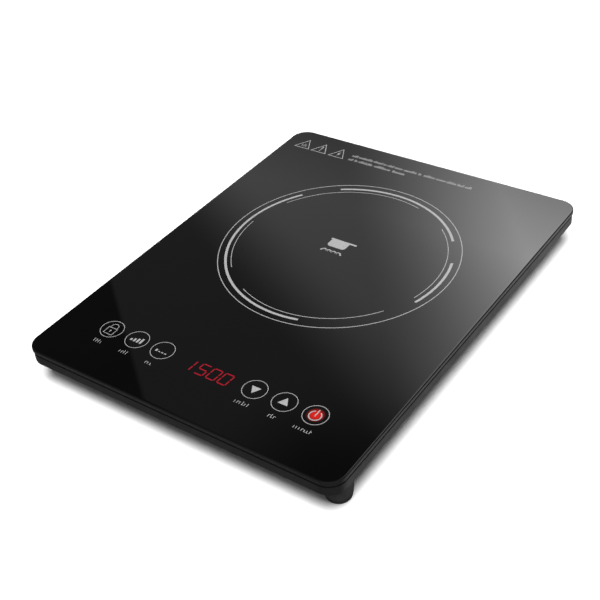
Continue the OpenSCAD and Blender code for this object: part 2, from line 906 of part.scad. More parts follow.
// ---- control board ----

module control_carrier() {
    color([0.85, 0.85, 0.83]) {
        translate([0, 0, carrier_z]) linear_extrude(carrier_t) difference() {
            translate([-112, keys_y - 21]) square([224, 44]);
            for (x = key_xs) {
                translate([x, keys_y]) circle(4);
            }
            translate([ribbon_x, ribbon_y]) square([ribbon_w + 4, 6], center = true);
        }
        for (x = [-1, 1], y = carrier_leg_ys) {
            translate([x * carrier_leg_x, y, tub_floor]) cylinder(r = 2.4, h = carrier_z - tub_floor + eps);
        }
    }
}

module control_board() {
    color([0.05, 0.3, 0.15]) difference() {
        translate([-control_w / 2, keys_y - control_d / 2, control_z]) cube([control_w, control_d, control_t]);
        at(control_screw_spots, control_z - 1) cylinder(r = 1 + slip, h = control_t + 2);
    }
}

module control_screws() {
    color([0.7, 0.7, 0.72]) at(control_screw_spots, control_top) screw_down(1, control_t, 2, 1.2);
}

module touch_springs() {
    color([0.8, 0.8, 0.8]) for (x = key_xs) {
        translate([x, keys_y, control_top]) coil_spring(5, 0.5, glass_z - control_top, 3);
    }
}

module display_module() {
    color([0.12, 0.12, 0.12]) translate([3.2, keys_y - 2, control_top]) block([46, 18, glass_z - control_top]);
}

module power_light() {
    color([0.9, 0.15, 0.1]) translate([key_xs[5], keys_y, control_top]) cylinder(r = 2.5, h = glass_z - control_top);
}

module touch_chip() {
    color([0.06, 0.06, 0.06]) translate([30.6, keys_y + 11, control_top]) block([9, 6, 1.4]);
}

module buzzer() {
    color([0.06, 0.06, 0.06]) translate([-29, keys_y + 10, control_top]) tube(5.5, 1, 3.2);
}

// Flat cable from the power board up to the control board.
module ribbon_cable() {
    t = 1;
    bottom = board_top + 7;
    color([0.75, 0.75, 0.75]) translate([ribbon_x - ribbon_w / 2, ribbon_y - t / 2, bottom])
        cube([ribbon_w, t, control_z - bottom]);
}

glass_plate();
glass_seal();
top_frame();
bottom_case();
rubber_feet();
case_screws();
rating_plate();
cord_gland();
coil_former();
coil_winding();
ferrite_bars();
mica_sheet();
fibre_pad();
coil_screws();
coil_leads();
sensor_holder();
sensor_spring();
thermistor();
sensor_wires();
fan_frame();
fan_bearing();
fan_stator();
fan_magnet();
fan_rotor();
fan_shaft();
fan_screws();
fan_wires();
power_board();
board_screws();
heatsink();
igbt();
bridge_rectifier();
heatsink_screws();
filter_capacitor();
resonant_capacitor();
line_capacitor();
choke_core();
choke_winding();
electrolytics();
transformer_core();
transformer_coil();
fuse();
fuse_clips();
varistor();
coil_terminals();
mains_terminals();
logic_chips();
board_sockets();
mains_wires();
control_carrier();
control_board();
control_screws();
touch_springs();
display_module();
power_light();
touch_chip();
buzzer();
ribbon_cable();
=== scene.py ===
import json
import math
import random

import bmesh
import bpy
from mathutils import Matrix, Vector


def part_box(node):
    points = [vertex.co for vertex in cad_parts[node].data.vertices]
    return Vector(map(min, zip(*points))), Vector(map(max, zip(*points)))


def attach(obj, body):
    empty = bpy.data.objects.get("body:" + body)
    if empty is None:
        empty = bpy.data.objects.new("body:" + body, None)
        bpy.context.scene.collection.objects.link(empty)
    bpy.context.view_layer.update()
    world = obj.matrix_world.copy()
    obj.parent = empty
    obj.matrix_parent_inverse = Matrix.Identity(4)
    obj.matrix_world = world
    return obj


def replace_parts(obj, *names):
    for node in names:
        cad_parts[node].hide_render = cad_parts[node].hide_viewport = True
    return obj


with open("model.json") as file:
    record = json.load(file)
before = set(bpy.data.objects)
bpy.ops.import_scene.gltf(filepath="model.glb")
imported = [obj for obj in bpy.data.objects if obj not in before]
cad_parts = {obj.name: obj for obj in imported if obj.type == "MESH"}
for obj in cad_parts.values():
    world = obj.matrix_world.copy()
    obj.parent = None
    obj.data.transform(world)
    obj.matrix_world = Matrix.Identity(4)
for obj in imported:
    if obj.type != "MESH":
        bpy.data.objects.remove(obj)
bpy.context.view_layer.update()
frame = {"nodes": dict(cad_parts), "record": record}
nodes = frame["nodes"]
MM = 0.001

# ---------------------------------------------------------------- camera

# fitted to the outline of the glass and to the zone ring in the photo
CAMERA_SPOT = (0.43068, -0.57200, 0.56189)
AZIMUTH = math.radians(38.963)
ELEVATION = math.radians(37.562)
ROLL = math.radians(-6.043)
LENS = 67.411
SHIFT = (0.0224, 0.0024)


def add_camera():
    back = Vector((
        math.sin(AZIMUTH) * math.cos(ELEVATION),
        -math.cos(AZIMUTH) * math.cos(ELEVATION),
        math.sin(ELEVATION),
    ))
    right = Vector((math.cos(AZIMUTH), math.sin(AZIMUTH), 0))
    up = back.cross(right)
    x_axis = right * math.cos(ROLL) + up * math.sin(ROLL)
    y_axis = back.cross(x_axis)
    turn = Matrix((x_axis, y_axis, back)).transposed().to_4x4()
    data = bpy.data.cameras.new("camera")
    data.sensor_width = 36
    data.lens = LENS
    data.shift_x, data.shift_y = SHIFT
    data.clip_start, data.clip_end = 0.01, 50
    camera = bpy.data.objects.new("camera", data)
    camera.matrix_world = Matrix.Translation(CAMERA_SPOT) @ turn
    bpy.context.scene.collection.objects.link(camera)
    bpy.context.scene.camera = camera


# ---------------------------------------------------------------- materials


class Surface:
    """A Principled material, with short calls that wire textures into its sockets."""

    def __init__(self, name, colour, roughness, metallic=0.0, ior=1.5, specular=0.5):
        self.material = bpy.data.materials.new(name)
        self.material.use_nodes = True
        self.tree = self.material.node_tree
        self.shader = self.tree.nodes["Principled BSDF"]
        self.colour = colour
        self.set("Base Color", (*colour, 1))
        self.set("Roughness", roughness)
        self.set("Metallic", metallic)
        self.set("IOR", ior)
        self.set("Specular IOR Level", specular)
        self.place = self.node("ShaderNodeTexCoord").outputs["Object"]
        self.bump = None

    def set(self, socket, value):
        self.shader.inputs[socket].default_value = value

    def node(self, kind, **inputs):
        made = self.tree.nodes.new(kind)
        for key, value in inputs.items():
            made.inputs[key.replace("_", " ")].default_value = value
        return made

    def link(self, source, target):
        self.tree.links.new(source, target)

    def stretched(self, factors):
        made = self.node("ShaderNodeMapping", Scale=factors)
        self.link(self.place, made.inputs["Vector"])
        return made.outputs["Vector"]

    def noise(self, size, detail=3.0, stretch=None):
        """Noise with features about `size` metres wide."""
        made = self.node("ShaderNodeTexNoise", Scale=1 / size, Detail=detail)
        self.link(self.stretched(stretch) if stretch else self.place, made.inputs["Vector"])
        return made.outputs["Fac"]

    def cells(self, size, feature="SMOOTH_F1"):
        made = self.node("ShaderNodeTexVoronoi", Scale=1 / size)
        made.feature = feature
        self.link(self.place, made.inputs["Vector"])
        return made.outputs["Distance"]

    def spread(self, source, low, high, start=0.3, stop=0.7):
        """Maps a texture from start..stop to low..high."""
        made = self.node("ShaderNodeMapRange", From_Min=start, From_Max=stop, To_Min=low, To_Max=high)
        self.link(source, made.inputs["Value"])
        return made.outputs["Result"]

    def tint(self, source, dark, light, start=0.3, stop=0.7):
        """Base colour that wanders between two shades."""
        ramp = self.node("ShaderNodeValToRGB")
        for element, place, shade in zip(ramp.color_ramp.elements, (start, stop), (dark, light)):
            element.position = place
            element.color = (*shade, 1)
        self.link(source, ramp.inputs["Fac"])
        self.link(ramp.outputs["Color"], self.shader.inputs["Base Color"])
        return self

    def shade(self, source, amount):
        """Base colour a little darker and lighter round its mean."""
        dark = tuple(c * (1 - amount) for c in self.colour)
        light = tuple(min(c * (1 + amount), 1) for c in self.colour)
        return self.tint(source, dark, light)

    def rough(self, source, low, high):
        self.link(self.spread(source, low, high), self.shader.inputs["Roughness"])
        return self

    def relief(self, source, depth, strength=1.0):
        """Bump of `depth` metres, stacked on any relief already there."""
        made = self.node("ShaderNodeBump", Strength=strength, Distance=depth)
        self.link(source, made.inputs["Height"])
        if self.bump:
            self.link(self.bump.outputs["Normal"], made.inputs["Normal"])
        self.link(made.outputs["Normal"], self.shader.inputs["Normal"])
        self.bump = made
        return self

    def soften(self, radius):
        """Small rounds on the edges. It is called before any relief."""
        made = self.node("ShaderNodeBevel", Radius=radius)
        made.samples = 4
        self.link(made.outputs["Normal"], self.shader.inputs["Normal"])
        self.bump = made
        return self


def black_glass():
    s = Surface("black_glass", (0.0008, 0.0008, 0.0009), 0.02, ior=1.52)
    s.shade(s.noise(0.09), 0.25)
    s.rough(s.noise(0.05, 5), 0.012, 0.035)
    s.relief(s.noise(0.06, 1), 0.000004, 0.5)
    return s.material


def ground_edge():
    """The edge of the glass, ground and only half polished."""
    s = Surface("ground_edge", (0.0035, 0.0035, 0.0037), 0.28, ior=1.52, specular=0.22)
    s.shade(s.noise(0.01, 4), 0.25)
    s.rough(s.noise(0.002, 4), 0.22, 0.34)
    s.relief(s.noise(0.0004, 3, (0.2, 0.2, 1)), 0.000004)
    return s.material


def seal_silicone():
    s = Surface("seal_silicone", (0.004, 0.004, 0.004), 0.6, specular=0.25)
    s.shade(s.noise(0.004), 0.3)
    s.rough(s.noise(0.002), 0.5, 0.7)
    s.relief(s.noise(0.0015), 0.00008)
    return s.material


def moulded(name, colour, roughness, grain=0.00042, depth=0.00004, specular=0.5):
    """Spark-eroded plastic: rounded cells with a finer tooth on them."""
    s = Surface(name, colour, roughness, ior=1.47, specular=specular)
    s.soften(0.0003)
    s.shade(s.noise(0.03, 4), 0.15)
    s.rough(s.noise(0.012, 4), roughness * 0.88, roughness * 1.15)
    s.relief(s.cells(grain), depth, 0.7)
    s.relief(s.noise(grain / 2, 2), depth / 2, 0.6)
    return s.material


def rubber(name, colour):
    s = Surface(name, colour, 0.75, specular=0.3)
    s.shade(s.noise(0.006, 4), 0.25)
    s.rough(s.noise(0.003, 4), 0.65, 0.85)
    s.relief(s.noise(0.0006, 4), 0.00006)
    return s.material


def metal(name, colour, roughness, stretch=(1, 1, 1)):
    """Bright metal, brushed along the axis whose stretch factor is small."""
    grain = 0.0004
    s = Surface(name, colour, roughness, metallic=1.0)
    s.soften(0.0002)
    s.shade(s.noise(0.004, 5), 0.08)
    s.rough(s.noise(grain, 4, stretch), roughness * 0.75, roughness * 1.3)
    s.relief(s.noise(grain, 4, stretch), 0.00001, 0.6)
    return s.material


def coated(name, colour, roughness, grain, depth, amount=0.12, coat=0.0):
    """Paint, lacquer, felt or ceramic, with grain of the stated size."""
    s = Surface(name, colour, roughness)
    s.set("Coat Weight", coat)
    s.shade(s.noise(grain * 8, 4), amount)
    s.rough(s.noise(grain * 3, 3), roughness * 0.85, min(roughness * 1.2, 1))
    s.relief(s.noise(grain, 3), depth)
    return s.material


def litz_copper():
    s = Surface("copper_wire", (0.55, 0.19, 0.07), 0.35, metallic=0.9)
    s.shade(s.noise(0.0012, 3), 0.3)
    s.rough(s.noise(0.002, 3), 0.28, 0.5)
    s.relief(s.noise(0.0006, 2, (1, 1, 0.4)), 0.00012)
    return s.material


def mica():
    s = Surface("mica", (0.50, 0.43, 0.28), 0.4)
    s.tint(s.cells(0.006, "F1"), (0.34, 0.27, 0.15), (0.62, 0.55, 0.40), 0.1, 0.8)
    s.rough(s.noise(0.003), 0.25, 0.55)
    s.relief(s.cells(0.004, "F1"), 0.00004)
    return s.material


def circuit_board(name, base, track, width):
    s = Surface(name, base, 0.35)
    s.tint(s.cells(width, "F1"), track, base, 0.42, 0.5)
    s.rough(s.noise(0.004), 0.28, 0.45)
    s.relief(s.noise(0.0005, 2), 0.00001)
    return s.material


def clear_glass():
    s = Surface("fuse_glass", (0.9, 0.95, 0.95), 0.05, ior=1.5)
    s.set("Transmission Weight", 0.9)
    s.rough(s.noise(0.01), 0.03, 0.08)
    return s.material


def label_foil():
    s = Surface("label_foil", (0.55, 0.55, 0.56), 0.38, metallic=0.7)
    s.shade(s.noise(0.0005, 4, (0.05, 1, 1)), 0.12)
    s.rough(s.noise(0.0006, 4, (0.05, 1, 1)), 0.3, 0.48)
    s.relief(s.noise(0.0006, 4, (0.05, 1, 1)), 0.000005)
    return s.material


def enamel_print():
    s = Surface("enamel_print", (0.29, 0.29, 0.294), 0.45)
    s.shade(s.noise(0.0016, 4), 0.1)
    s.rough(s.noise(0.001, 3), 0.38, 0.55)
    s.relief(s.noise(0.0004, 2), 0.000006)
    return s.material


def label_ink():
    s = Surface("label_ink", (0.03, 0.03, 0.035), 0.5)
    s.shade(s.noise(0.001, 3), 0.3)
    s.rough(s.noise(0.001, 3), 0.4, 0.6)
    return s.material


def lit_digits():
    s = Surface("lit_digits", (0.05, 0.002, 0.003), 0.02, ior=1.52)
    s.set("Emission Color", (1.0, 0.014, 0.055, 1))
    s.link(s.spread(s.noise(0.0012, 2), 0.29, 0.37), s.shader.inputs["Emission Strength"])
    return s.material


def lit_disc(centre, inner, outer):
    """A glow that is even out to `inner` and gone at `outer`, seen through the black glass."""
    s = Surface("lit_disc", (0.004, 0.002, 0.002), 0.02, ior=1.52)
    s.set("Emission Color", (1.0, 0.016, 0.008, 1))
    reach = s.node("ShaderNodeVectorMath")
    reach.operation = "DISTANCE"
    reach.inputs[1].default_value = centre
    s.link(s.place, reach.inputs[0])
    s.link(s.spread(reach.outputs["Value"], 0.66, 0.0, inner, outer), s.shader.inputs["Emission Strength"])
    return s.material


def all_finishes():
    near_black = (0.0033, 0.0033, 0.0035)
    dark_grey = (0.015, 0.015, 0.0155)
    brown = (0.06, 0.028, 0.02)
    return {
        "black_glass": black_glass(),
        "seal_silicone": seal_silicone(),
        "housing_plastic": moulded("housing_plastic", near_black, 0.42, specular=0.35),
        "case_plastic": moulded("case_plastic", dark_grey, 0.5, 0.0006, 0.00006, specular=0.42),
        "foot_rubber": rubber("foot_rubber", (0.012, 0.012, 0.012)),
        "zinc_steel": metal("zinc_steel", (0.52, 0.53, 0.55), 0.32),
        "label_foil": label_foil(),
        "cream_plastic": moulded("cream_plastic", (0.72, 0.69, 0.60), 0.5, 0.0005, 0.00002),
        "copper_wire": litz_copper(),
        "ferrite": coated("ferrite", (0.035, 0.034, 0.036), 0.6, 0.0005, 0.00003, 0.3),
        "mica": mica(),
        "fibre": coated("fibre", (0.80, 0.79, 0.75), 0.95, 0.0006, 0.0003, 0.08),
        "white_silicone": coated("white_silicone", (0.78, 0.78, 0.75), 0.6, 0.0008, 0.00003, 0.05),
        "spring_steel": metal("spring_steel", (0.60, 0.60, 0.62), 0.22),
        "black_plastic": moulded("black_plastic", (0.016, 0.016, 0.017), 0.5, 0.0004, 0.00003),
        "bronze": metal("bronze", (0.62, 0.38, 0.14), 0.4),
        "magnet": coated("magnet", (0.045, 0.043, 0.042), 0.55, 0.0004, 0.00003, 0.25),
        "wire_insulation": coated("wire_insulation", brown, 0.45, 0.0008, 0.00001, 0.1, coat=0.2),
        "power_pcb": circuit_board("power_pcb", (0.36, 0.22, 0.07), (0.46, 0.30, 0.11), 0.007),
        "control_pcb": circuit_board("control_pcb", (0.012, 0.10, 0.04), (0.03, 0.17, 0.07), 0.005),
        "sink_aluminium": metal("sink_aluminium", (0.62, 0.63, 0.65), 0.35, (0.04, 1, 1)),
        "epoxy": coated("epoxy", (0.018, 0.018, 0.02), 0.45, 0.0003, 0.00002, 0.2),
        "yellow_case": coated("yellow_case", (0.72, 0.52, 0.06), 0.35, 0.0006, 0.00001, 0.06, coat=0.2),
        "blue_case": coated("blue_case", (0.05, 0.14, 0.38), 0.35, 0.0006, 0.00001, 0.08, coat=0.2),
        "can_sleeve": coated("can_sleeve", (0.015, 0.02, 0.045), 0.3, 0.0008, 0.00001, 0.1, coat=0.4),
        "green_toroid": coated("green_toroid", (0.03, 0.13, 0.05), 0.5, 0.0005, 0.00003, 0.15),
        "tape_yellow": coated("tape_yellow", (0.68, 0.50, 0.10), 0.35, 0.0009, 0.00002, 0.1),
        "fuse_glass": clear_glass(),
        "tinned_metal": metal("tinned_metal", (0.58, 0.58, 0.54), 0.28),
        "varistor_blue": coated("varistor_blue", (0.02, 0.08, 0.35), 0.25, 0.0009, 0.00003, 0.1, coat=0.3),
        "display_red": coated("display_red", (0.02, 0.004, 0.004), 0.3, 0.0006, 0.00001, 0.2),
        "light_red": coated("light_red", (0.70, 0.03, 0.02), 0.3, 0.0006, 0.00001, 0.1),
    }


# ---------------------------------------------------------------- mesh helpers


SHARP_ANGLE = math.radians(35)


def add_object(name, made, material):
    """Turns a bmesh into a piece that rides on the cooktop."""
    bmesh.ops.recalc_face_normals(made, faces=made.faces)
    mesh = bpy.data.meshes.new(name)
    made.to_mesh(mesh)
    made.free()
    mesh.materials.append(material)
    mesh.shade_smooth()
    mesh.set_sharp_from_angle(angle=SHARP_ANGLE)
    obj = bpy.data.objects.new(name, mesh)
    bpy.context.scene.collection.objects.link(obj)
    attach(obj, "cooktop")
    return obj


def arc(centre, radius, start, stop, steps):
    """Points on an arc. Angles are in degrees, anticlockwise."""
    turns = [math.radians(start + (stop - start) * i / steps) for i in range(steps + 1)]
    return [(centre[0] + radius * math.cos(t), centre[1] + radius * math.sin(t)) for t in turns]


def rounded_outline(half_w, half_d, radius):
    """A rectangle with round corners, anticlockwise."""
    steps = 20
    points = []
    for sx, sy, start in ((1, 1, 0), (-1, 1, 90), (-1, -1, 180), (1, -1, 270)):
        corner = (sx * (half_w - radius), sy * (half_d - radius))
        points += arc(corner, radius, start, start + 90, steps)
    return points


def sweep(made, half_w, half_d, radius, profile, closed):
    """Carries a profile of (inset, height) points round a rectangle with round corners."""
    rings = []
    for inset, z in profile:
        loop = rounded_outline(half_w - inset, half_d - inset, max(radius - inset, 0.4 * MM))
        rings.append([made.verts.new((x, y, z)) for x, y in loop])
    pairs = list(zip(rings, rings[1:]))
    if closed:
        pairs.append((rings[-1], rings[0]))
    for low, high in pairs:
        for i in range(len(low)):
            j = (i + 1) % len(low)
            made.faces.new((low[i], low[j], high[j], high[i]))
    if not closed:
        made.faces.new(rings[0])
        made.faces.new(rings[-1])


def strip(made, left, right, low, high, closed):
    """A solid band between two rows of points."""
    rows = [[made.verts.new((x, y, z)) for x, y in side] for side, z in
            ((left, low), (right, low), (right, high), (left, high))]
    count = len(left)
    for i in range(count if closed else count - 1):
        j = (i + 1) % count
        for a, b in ((0, 1), (1, 2), (2, 3), (3, 0)):
            made.faces.new((rows[a][i], rows[a][j], rows[b][j], rows[b][i]))
    if not closed:
        for i in (0, count - 1):
            made.faces.new([row[i] for row in rows])


def slab(made, points, low, high):
    """A solid plate with this outline."""
    bottom = [made.verts.new((x, y, low)) for x, y in points]
    top = [made.verts.new((x, y, high)) for x, y in points]
    made.faces.new(bottom)
    made.faces.new(top)
    for i in range(len(points)):
        j = (i + 1) % len(points)
        made.faces.new((bottom[i], bottom[j], top[j], top[i]))


def offset_row(points, distance, closed):
    """The row of points moved sideways, with mitred corners."""
    count = len(points)
    moved = []
    for i, p in enumerate(points):
        before = points[i - 1] if i or closed else None
        after = points[(i + 1) % count] if i < count - 1 or closed else None
        here = Vector(p)
        ways = []
        if before:
            ways.append((here - Vector(before)).normalized())
        if after:
            ways.append((Vector(after) - here).normalized())
        way = sum(ways, Vector((0, 0))).normalized()
        normal = Vector((-way.y, way.x))
        reach = distance / max(normal.dot(Vector((-ways[0].y, ways[0].x))), 0.3)
        moved.append(tuple(here + normal * reach))
    return moved


# ---------------------------------------------------------------- the printed glass

GLASS_LOW, GLASS_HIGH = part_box("glass_plate")
SURFACE_Z = GLASS_HIGH.z
HALF_W, HALF_D = GLASS_HIGH.x, GLASS_HIGH.y
CORNER = 14 * MM
PRINT_LOW = SURFACE_Z - 0.01 * MM
PRINT_HIGH = SURFACE_Z + 0.03 * MM
ZONE = (0.8 * MM, 33.1 * MM)
KEY_Y = -135.0 * MM
KEY_XS = [x * MM for x in (-94.2, -69.0, -43.9, 40.7, 66.2, 92.0)]
LABEL_Y = -150.7 * MM


def build_glass(polished, ground, silicone_as_rim_shade):
    """The glass with round edges: polished on top, ground at the side, and the dark silicone finish on the
    lower rim as painted shade, where the rim would mirror the shadowed floor.
    """
    top, bottom = SURFACE_Z, GLASS_LOW.z
    edge, rim = 1.1 * MM, 0.9 * MM
    ground_slope = 0.35
    profile = [(4 * MM, bottom), (1.6 * MM, bottom)]
    profile += arc((rim, bottom + rim), rim, 270, 180, 5)
    profile += arc((edge, top - edge), edge, 180, 90, 12)
    profile += [(1.8 * MM, top), (6 * MM, top)]
    made = bmesh.new()
    sweep(made, HALF_W, HALF_D, CORNER, profile, closed=False)
    piece = add_object("glass_top", made, polished)
    piece.data.materials.append(ground)
    piece.data.materials.append(silicone_as_rim_shade)
    for face in piece.data.polygons:
        # painted shade: the lowest faces of the rim take the dark silicone finish, standing for the
        # shadowed floor they would mirror
        if face.center.z < bottom + rim:
            face.material_index = 2
        elif face.normal.z < ground_slope:
            face.material_index = 1
    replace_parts(piece, "glass_plate")


class Print:
    """Enamel printed on the glass, in millimetres."""

    def __init__(self):
        self.made = bmesh.new()

    def line(self, points, width, closed=False):
        points = [(x * MM, y * MM) for x, y in points]
        half = width * MM / 2
        left, right = offset_row(points, half, closed), offset_row(points, -half, closed)
        strip(self.made, left, right, PRINT_LOW, PRINT_HIGH, closed)

    def ring(self, centre, radius, width, start=0, stop=360):
        steps_per_degree = 0.9 if radius > 30 else 0.25
        steps = max(8, round(abs(stop - start) * steps_per_degree))
        points = arc(centre, radius, start, stop, steps)
        whole = stop - start == 360
        self.line(points[:-1] if whole else points, width, closed=whole)

    def fill(self, points):
        slab(self.made, [(x * MM, y * MM) for x, y in points], PRINT_LOW, PRINT_HIGH)

    def bar(self, x0, x1, y0, y1):
        """A filled upright rectangle."""
        self.fill([(x0, y0), (x1, y0), (x1, y1), (x0, y1)])

    def finish(self, name, material):
        add_object(name, self.made, material)


def fine_print(marks, centre, width, height, pitch, stroke, seed):
    """Plain upright strokes that stand in for small print."""
    dice = random.Random(seed)
    side_share, side_stroke = 0.45, 0.4
    low = centre[1] - height / 2
    for i in range(max(2, round(width / pitch))):
        x = centre[0] - width / 2 + pitch * (i + 0.3)
        top = low + height * dice.choice((0.66, 0.66, 0.66, 1.0))
        marks.bar(x, x + stroke, low, top)
        if dice.random() < side_share:
            level = low + height * dice.choice((0.0, 0.55))
            marks.bar(x + stroke, x + 0.7 * pitch, level, level + side_stroke)


def build_zone(enamel):
    centre = (ZONE[0] / MM, ZONE[1] / MM)
    rings = Print()
    rings.ring(centre, 98.4, 0.66)
    for start, stop in ((-18.2, 17.8), (36.5, 122), (143.2, 283.7)):
        rings.ring(centre, 92.0, 2.1, start, stop)
    for start, stop in ((-16.2, 48.5), (73, 154), (179, 223.5), (244.5, 325.7)):
        rings.ring(centre, 87.4, 0.56, start, stop)
    rings.finish("print_zone_rings", enamel)

    # a pan over a row of coil humps: the plain sign for an induction zone
    sign = Print()
    left, right, low, high, round_r = -12.7, 4.2, 35.2, 44.2, 3.0
    lip, rim, handle = 1.2, 1.8, 6.0
    coil_y, hump, humps, coil_stroke = 28.2, 2.2, 4, 1.1
    pan = [(left, high)] + arc((left + round_r, low + round_r), round_r, 180, 270, 8)
    pan += arc((right - round_r, low + round_r), round_r, 270, 360, 8) + [(right, high)]
    sign.fill(pan)
    sign.bar(left - lip, right + lip, high, high + rim)
    sign.bar(right + lip, right + handle, high, high + rim)
    coil = [(left - lip, coil_y)]
    for i in range(humps):
        coil += arc((left + hump + 2 * hump * i, coil_y), hump, 180, 0, 10)
    coil += [(left + 2 * humps * hump + lip, coil_y)]
    sign.line(coil, coil_stroke)
    sign.finish("print_zone_sign", enamel)


def padlock(signs, x, y):
    stroke, half, shackle_r = 0.48, 4.1, 3.0
    low, high = y - 5.8, y + 1.3
    signs.line([(x - half, low), (x + half, low), (x + half, high), (x - half, high)], stroke, closed=True)
    foot = high + 0.4
    shackle = [(x - shackle_r, foot)] + arc((x, y + 3.1), shackle_r, 180, 0, 14) + [(x + shackle_r, foot)]
    signs.line(shackle, stroke)
    signs.fill(arc((x, y - 1.8), 0.7, 0, 330, 11))
    signs.bar(x - 0.25, x + 0.25, y - 3.7, y - 2.2)


def level_bars(signs, x, y, full):
    """Four bars, of which the first `full` rise and the others are stubs."""
    low, first, pitch, width = y - 2.8, x - 5.2, 2.9, 1.7
    for i in range(4):
        height = 2.2 + 1.2 * i if i < full else 0.9
        left = first + pitch * i
        signs.bar(left, left + width, low, low + height)


def build_keys(enamel):
    y = KEY_Y / MM
    xs = [x / MM for x in KEY_XS]
    rings = Print()
    for x in xs:
        rings.ring((x, y), 9.35, 0.47)
    rings.finish("print_key_rings", enamel)

    signs = Print()
    padlock(signs, xs[0], y)
    level_bars(signs, xs[1], y, 4)
    level_bars(signs, xs[2], y, 1)
    # down and up
    x = xs[3]
    signs.fill([(x - 4.0, y + 2.6), (x, y - 4.3), (x + 4.0, y + 2.6)])
    x = xs[4]
    signs.fill([(x - 4.1, y - 2.7), (x + 4.1, y - 2.7), (x, y + 4.4)])
    signs.finish("print_key_signs", enamel)

    names = Print()
    for i, (x, width) in enumerate(zip(xs, (9.2, 8.2, 7.5, 12.5, 5.8, 15.6))):
        fine_print(names, (x, LABEL_Y / MM), width, 3.5, 2.15, 0.45, i)
    names.finish("print_key_names", enamel)

    power = Print()
    x = xs[5]
    power.ring((x, y - 0.6), 4.5, 0.85, 118, 422)
    power.bar(x - 0.42, x + 0.42, y - 1.3, y + 5.6)
    power.finish("print_power_sign", enamel)


def build_notes(enamel):
    """Three plain signs and two rows of strokes, where a cooktop carries its notes."""
    signs = Print()
    lefts = (-128.1, -109.8, -90.6)
    foot_y, top_y, width, middle = 155.5, 169.6, 15.2, 7.7
    for left in lefts:
        signs.line([(left, foot_y), (left + width, foot_y), (left + 8.0, top_y)], 0.62, closed=True)
    # steam
    for i in (-1, 0, 1):
        x = lefts[0] + middle + 1.9 * i
        wave = [(x + 0.4 * math.sin(t * 1.3), 158.0 + 0.62 * t) for t in range(8 - 2 * abs(i))]
        signs.line(wave, 0.5)
    # a stroke over a dot
    x = lefts[1] + middle
    signs.fill([(x - 0.3, 159.6), (x + 0.3, 159.6), (x + 0.65, 165.4), (x - 0.65, 165.4)])
    signs.fill(arc((x, 158.1), 0.62, 0, 330, 11))
    # a flash
    x = lefts[2] + middle
    signs.fill([(x + 0.9, 165.0), (x - 1.6, 160.8), (x - 0.2, 160.8)])
    signs.fill([(x - 0.9, 157.3), (x + 1.6, 161.6), (x + 0.2, 161.6)])
    signs.finish("print_note_signs", enamel)

    rows = Print()
    row_start, gap = -70.1, 1.4
    for y, lengths in (
        (164.5, (6, 14, 9, 3, 6, 8, 13, 4, 11, 9, 9, 6, 7)),
        (158.0, (5, 3, 15, 12, 4, 13)),
    ):
        x = row_start
        for i, length in enumerate(lengths):
            fine_print(rows, (x + length / 2, y), length, 3.6, 1.6, 0.75, round(y) + i)
            x += length + gap
    rows.finish("print_note_rows", enamel)


SEGMENTS = {"0": "abcdef", "1": "bc", "5": "afgcd"}


def build_digits(material):
    """Four seven-segment digits that lean to the right."""
    height, width, stroke, gap = 12.1, 7.3, 0.95, 0.25
    base_y = -143.1
    lean = math.tan(math.radians(4.4))
    half = stroke / 2
    ends = {
        "a": ((0, height), (width, height)),
        "b": ((width, height), (width, height / 2)),
        "c": ((width, height / 2), (width, 0)),
        "d": ((0, 0), (width, 0)),
        "e": ((0, height / 2), (0, 0)),
        "f": ((0, height), (0, height / 2)),
        "g": ((0, height / 2), (width, height / 2)),
    }
    digits = Print()
    for start, digit in ((-21.0, "1"), (-8.4, "5"), (1.9, "0"), (12.2, "0")):
        for key in SEGMENTS[digit]:
            (x0, y0), (x1, y1) = ends[key]
            inner_y0 = min(max(y0, half), height - half)
            inner_y1 = min(max(y1, half), height - half)
            a, b = Vector((x0, inner_y0)), Vector((x1, inner_y1))
            way = (b - a).normalized()
            side = Vector((-way.y, way.x)) * half
            a, b = a + way * gap, b - way * gap
            near, far = a + way * half, b - way * half
            corners = (a, near + side, far + side, b, far - side, near - side)
            digits.fill([(start + p.x + lean * p.y, base_y + p.y) for p in corners])
    digits.finish("display_digits", material)


def build_power_light(material):
    """The lit disc lies lower than the enamel, so the power sign stays on top of it."""
    made = bmesh.new()
    radius, high = 7.2 * MM, SURFACE_Z + 0.012 * MM
    slab(made, arc((KEY_XS[5], KEY_Y), radius, 0, 352.5, 47), PRINT_LOW, high)
    add_object("power_glow", made, material)


# ---------------------------------------------------------------- housing pieces


def build_rating_marks(ink):
    """Ruled lines and an empty box on the plate under the tub, in place of its print."""
    low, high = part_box("rating_plate")
    middle = (low + high) / 2
    half_w, half_d = (high.x - low.x) / 2, (high.y - low.y) / 2
    made = bmesh.new()

    def bar(x0, x1, y0, y1):
        points = [(middle.x + x, middle.y + y) for x, y in ((x0, y0), (x1, y0), (x1, y1), (x0, y1))]
        slab(made, points, low.z - 0.03 * MM, low.z + 0.01 * MM)

    border, line = 2.5 * MM, 0.5 * MM
    text_x, text_w, first_y, row_pitch = 6 * MM, 46 * MM, 8 * MM, 5.6 * MM
    box_left, box_right = half_w - 24 * MM, half_w - 6 * MM
    box_low, box_high = -half_d + 8 * MM, half_d - 14 * MM
    bar(-half_w + border, half_w - border, half_d - border - line, half_d - border)
    bar(-half_w + border, half_w - border, -half_d + border, -half_d + border + line)
    bar(-half_w + border, -half_w + border + line, -half_d + border, half_d - border)
    bar(half_w - border - line, half_w - border, -half_d + border, half_d - border)
    for i, reach in enumerate((0.86, 0.62, 0.74, 0.5, 0.8, 0.58)):
        y = half_d - first_y - row_pitch * i
        bar(-half_w + text_x, -half_w + text_x + reach * text_w, y - line, y + line)
    for x in (box_left, box_right):
        bar(x - line, x, box_low, box_high)
    for y in (box_low, box_high):
        bar(box_left - line, box_right, y - line, y)
    add_object("rating_plate_lines", made, ink)


